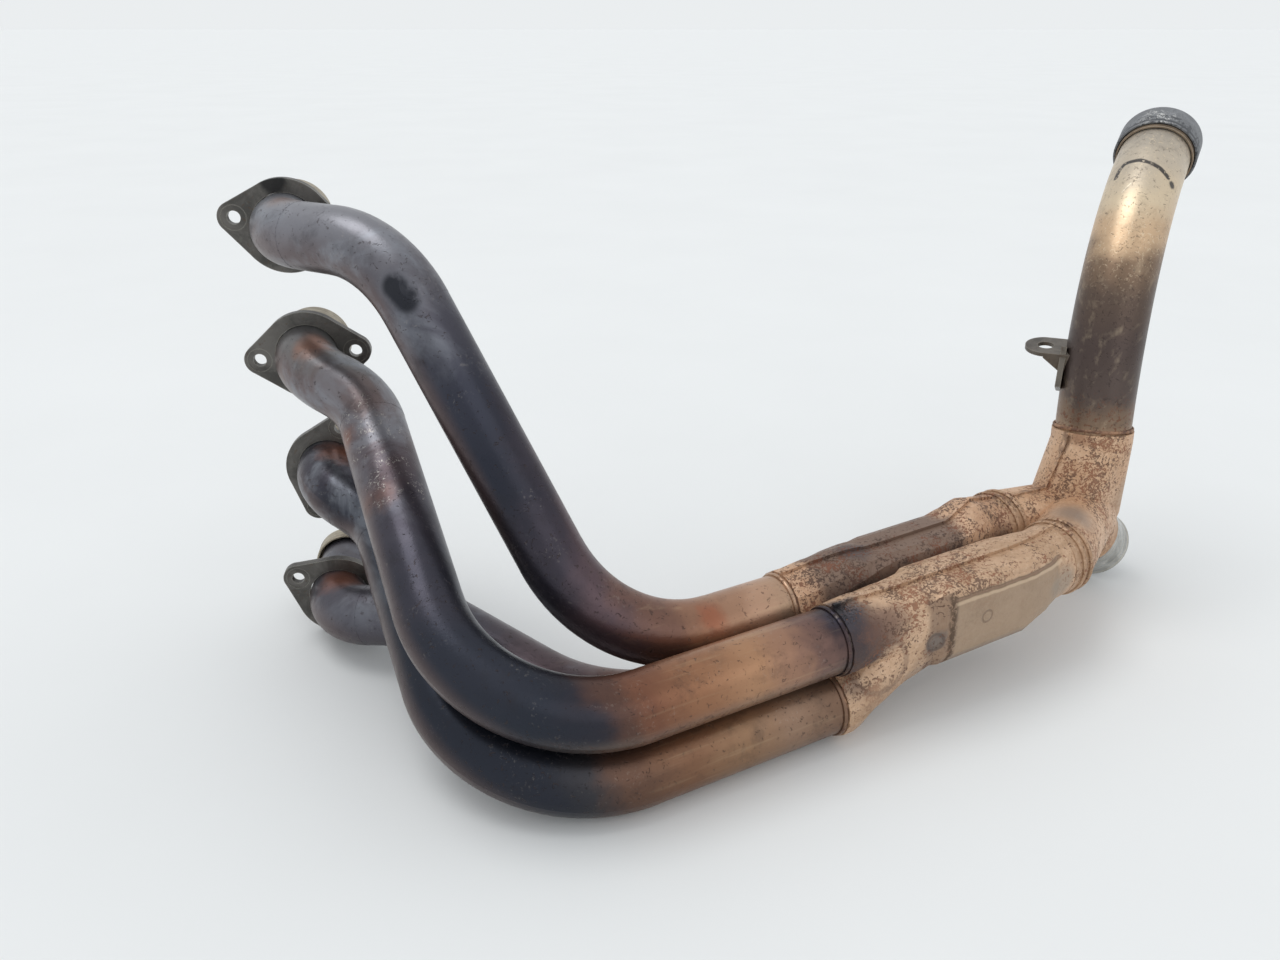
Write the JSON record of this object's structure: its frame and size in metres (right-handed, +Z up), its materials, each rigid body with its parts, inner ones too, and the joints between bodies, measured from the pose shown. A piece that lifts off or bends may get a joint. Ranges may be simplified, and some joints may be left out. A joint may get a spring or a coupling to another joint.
{
  "type": "motorcycle exhaust header",
  "caption": "Steel exhaust header for an in-line engine: bent primary pipes with loose stud flanges join in pressed collectors and one junction with two outlets.",
  "frame": {"origin": "middle of the bounding box, at its foot, where the header rests on the floor", "axes": "+Z up as it lies, +X along the length from the port flanges to the outlets, +Y away from the viewer"},
  "size_m": [0.7354, 0.4582, 0.3614],
  "materials": {
    "primary_pipe_1": "heat-darkened, blue-grey legs and bronze runs",
    "primary_pipe_2": "heat-darkened, blue-grey legs and bronze runs",
    "primary_pipe_3": "heat-darkened, blue-grey legs and bronze runs",
    "primary_pipe_4": "heat-darkened, blue-grey legs and bronze runs",
    "port_collar": "dull, ringed",
    "port_flange_1": "dull, oxidised",
    "port_flange_2": "dull, oxidised",
    "port_flange_3": "dull, oxidised",
    "port_flange_4": "dull, oxidised",
    "inner_collector": "tan scale with brown rust specks",
    "outer_collector": "brown scale with dark specks",
    "neck": "tan scale",
    "junction": "tan scale with brown rust specks",
    "upper_outlet_pipe": "bronze and brown heat bands",
    "outlet_sleeve": "tan, dull",
    "outlet_gasket": "matt graphite",
    "lower_outlet_cup": "pale, bright",
    "hanger_bracket": "dull, dark"
  },
  "bodies": {
    "header": {"primary_pipe_1": "primary_pipe_1", "primary_pipe_2": "primary_pipe_2", "primary_pipe_3": "primary_pipe_3", "primary_pipe_4": "primary_pipe_4", "port_stub_1": "primary_pipe_1", "port_stub_2": "primary_pipe_2", "port_stub_3": "primary_pipe_3", "port_stub_4": "primary_pipe_4", "port_collar_1": "port_collar", "port_collar_2": "port_collar", "port_collar_3": "port_collar", "port_collar_4": "port_collar", "inner_collector_near": "inner_collector", "inner_collector_far": "inner_collector", "outer_collector_near": "outer_collector", "outer_collector_far": "outer_collector", "inner_neck": "neck", "outer_neck": "neck", "junction_near": "junction", "junction_far": "junction", "upper_outlet_pipe": "upper_outlet_pipe", "upper_outlet_end": "upper_outlet_pipe", "outlet_sleeve": "outlet_sleeve", "outlet_gasket": "outlet_gasket", "lower_outlet_cup": "lower_outlet_cup", "hanger_bracket": "hanger_bracket"},
    "flange_1": {"port_flange_1": "port_flange_1"},
    "flange_2": {"port_flange_2": "port_flange_2"},
    "flange_3": {"port_flange_3": "port_flange_3"},
    "flange_4": {"port_flange_4": "port_flange_4"}
  },
  "joints": [
    {"name": "flange_1_spin", "type": "hinge", "parent": "header", "child": "flange_1", "pos_m": [-0.32473, 0.01301, 0.30128], "axis": [-0.1218, 0.9925, -0.003], "continuous": true},
    {"name": "flange_2_spin", "type": "hinge", "parent": "header", "child": "flange_2", "pos_m": [-0.32285, 0.01598, 0.21129], "axis": [-0.1218, 0.9925, -0.003], "continuous": true},
    {"name": "flange_3_spin", "type": "hinge", "parent": "header", "child": "flange_3", "pos_m": [-0.32182, 0.02591, 0.12129], "axis": [-0.1218, 0.9925, -0.003], "continuous": true},
    {"name": "flange_4_spin", "type": "hinge", "parent": "header", "child": "flange_4", "pos_m": [-0.31531, -0.00883, 0.03143], "axis": [-0.1218, 0.9925, -0.003], "continuous": true}
  ]
}
